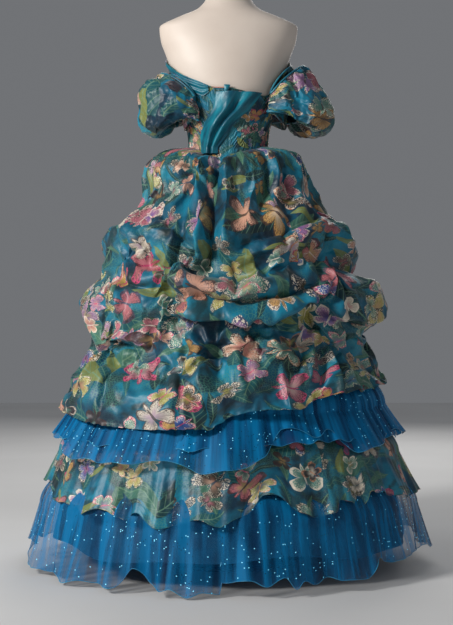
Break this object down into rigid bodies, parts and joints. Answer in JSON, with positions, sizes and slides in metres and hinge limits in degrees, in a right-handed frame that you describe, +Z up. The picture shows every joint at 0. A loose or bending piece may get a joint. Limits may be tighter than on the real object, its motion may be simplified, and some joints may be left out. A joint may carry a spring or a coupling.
{
  "type": "ballroom gown on a dress form",
  "caption": "Off-shoulder ballroom gown with puff sleeves, fitted bodice, picked-up overskirt and tiered flounces, standing on a limbless dress form with pole and round foot.",
  "frame": {"origin": "centre of the underside of the dress form's round foot", "axes": "+Z up, the gown's back faces -Y and its front +Y, +X is the wearer's right"},
  "size_m": [1.1182, 1.0654, 1.58],
  "materials": {
    "printed_taffeta": "crisp printed taffeta with a soft sheen, teal ground with butterflies and leaves",
    "plain_taffeta": "plain turquoise taffeta, soft sheen",
    "sheer_tulle": "sheer azure glitter tulle",
    "base_cloth": "plain azure taffeta, matt",
    "binding": "pale blue narrow binding",
    "form_skin": "smooth matt warm white shell",
    "pole_metal": "satin steel",
    "foot_paint": "satin pale paint"
  },
  "bodies": {
    "root": {"form_torso": "form_skin", "form_pole": "pole_metal", "form_foot": "foot_paint", "bodice_front_centre": "printed_taffeta", "bodice_side_front_left": "printed_taffeta", "bodice_back_left": "printed_taffeta", "bodice_back_right": "printed_taffeta", "bodice_side_front_right": "printed_taffeta", "back_drape": "printed_taffeta", "neckline_band": "plain_taffeta", "sleeve_left": "printed_taffeta", "sleeve_left_top_binding": "binding", "sleeve_left_cuff_binding": "binding", "sleeve_right": "printed_taffeta", "sleeve_right_top_binding": "binding", "sleeve_right_cuff_binding": "binding", "base_skirt_gore_1": "base_cloth", "overskirt_panel_1": "printed_taffeta", "upper_sheer_flounce_panel_1": "sheer_tulle", "printed_flounce_panel_1": "printed_taffeta", "hem_sheer_flounce_panel_1": "sheer_tulle", "base_skirt_gore_2": "base_cloth", "overskirt_panel_2": "printed_taffeta", "upper_sheer_flounce_panel_2": "sheer_tulle", "printed_flounce_panel_2": "printed_taffeta", "hem_sheer_flounce_panel_2": "sheer_tulle", "base_skirt_gore_3": "base_cloth", "overskirt_panel_3": "printed_taffeta", "upper_sheer_flounce_panel_3": "sheer_tulle", "printed_flounce_panel_3": "printed_taffeta", "hem_sheer_flounce_panel_3": "sheer_tulle", "base_skirt_gore_4": "base_cloth", "overskirt_panel_4": "printed_taffeta", "upper_sheer_flounce_panel_4": "sheer_tulle", "printed_flounce_panel_4": "printed_taffeta", "hem_sheer_flounce_panel_4": "sheer_tulle", "base_skirt_gore_5": "base_cloth", "overskirt_panel_5": "printed_taffeta", "upper_sheer_flounce_panel_5": "sheer_tulle", "printed_flounce_panel_5": "printed_taffeta", "hem_sheer_flounce_panel_5": "sheer_tulle", "base_skirt_gore_6": "base_cloth", "overskirt_panel_6": "printed_taffeta", "upper_sheer_flounce_panel_6": "sheer_tulle", "printed_flounce_panel_6": "printed_taffeta", "hem_sheer_flounce_panel_6": "sheer_tulle", "base_skirt_gore_7": "base_cloth", "overskirt_panel_7": "printed_taffeta", "upper_sheer_flounce_panel_7": "sheer_tulle", "printed_flounce_panel_7": "printed_taffeta", "hem_sheer_flounce_panel_7": "sheer_tulle", "base_skirt_gore_8": "base_cloth", "overskirt_panel_8": "printed_taffeta", "upper_sheer_flounce_panel_8": "sheer_tulle", "printed_flounce_panel_8": "printed_taffeta", "hem_sheer_flounce_panel_8": "sheer_tulle"}
  },
  "joints": []
}
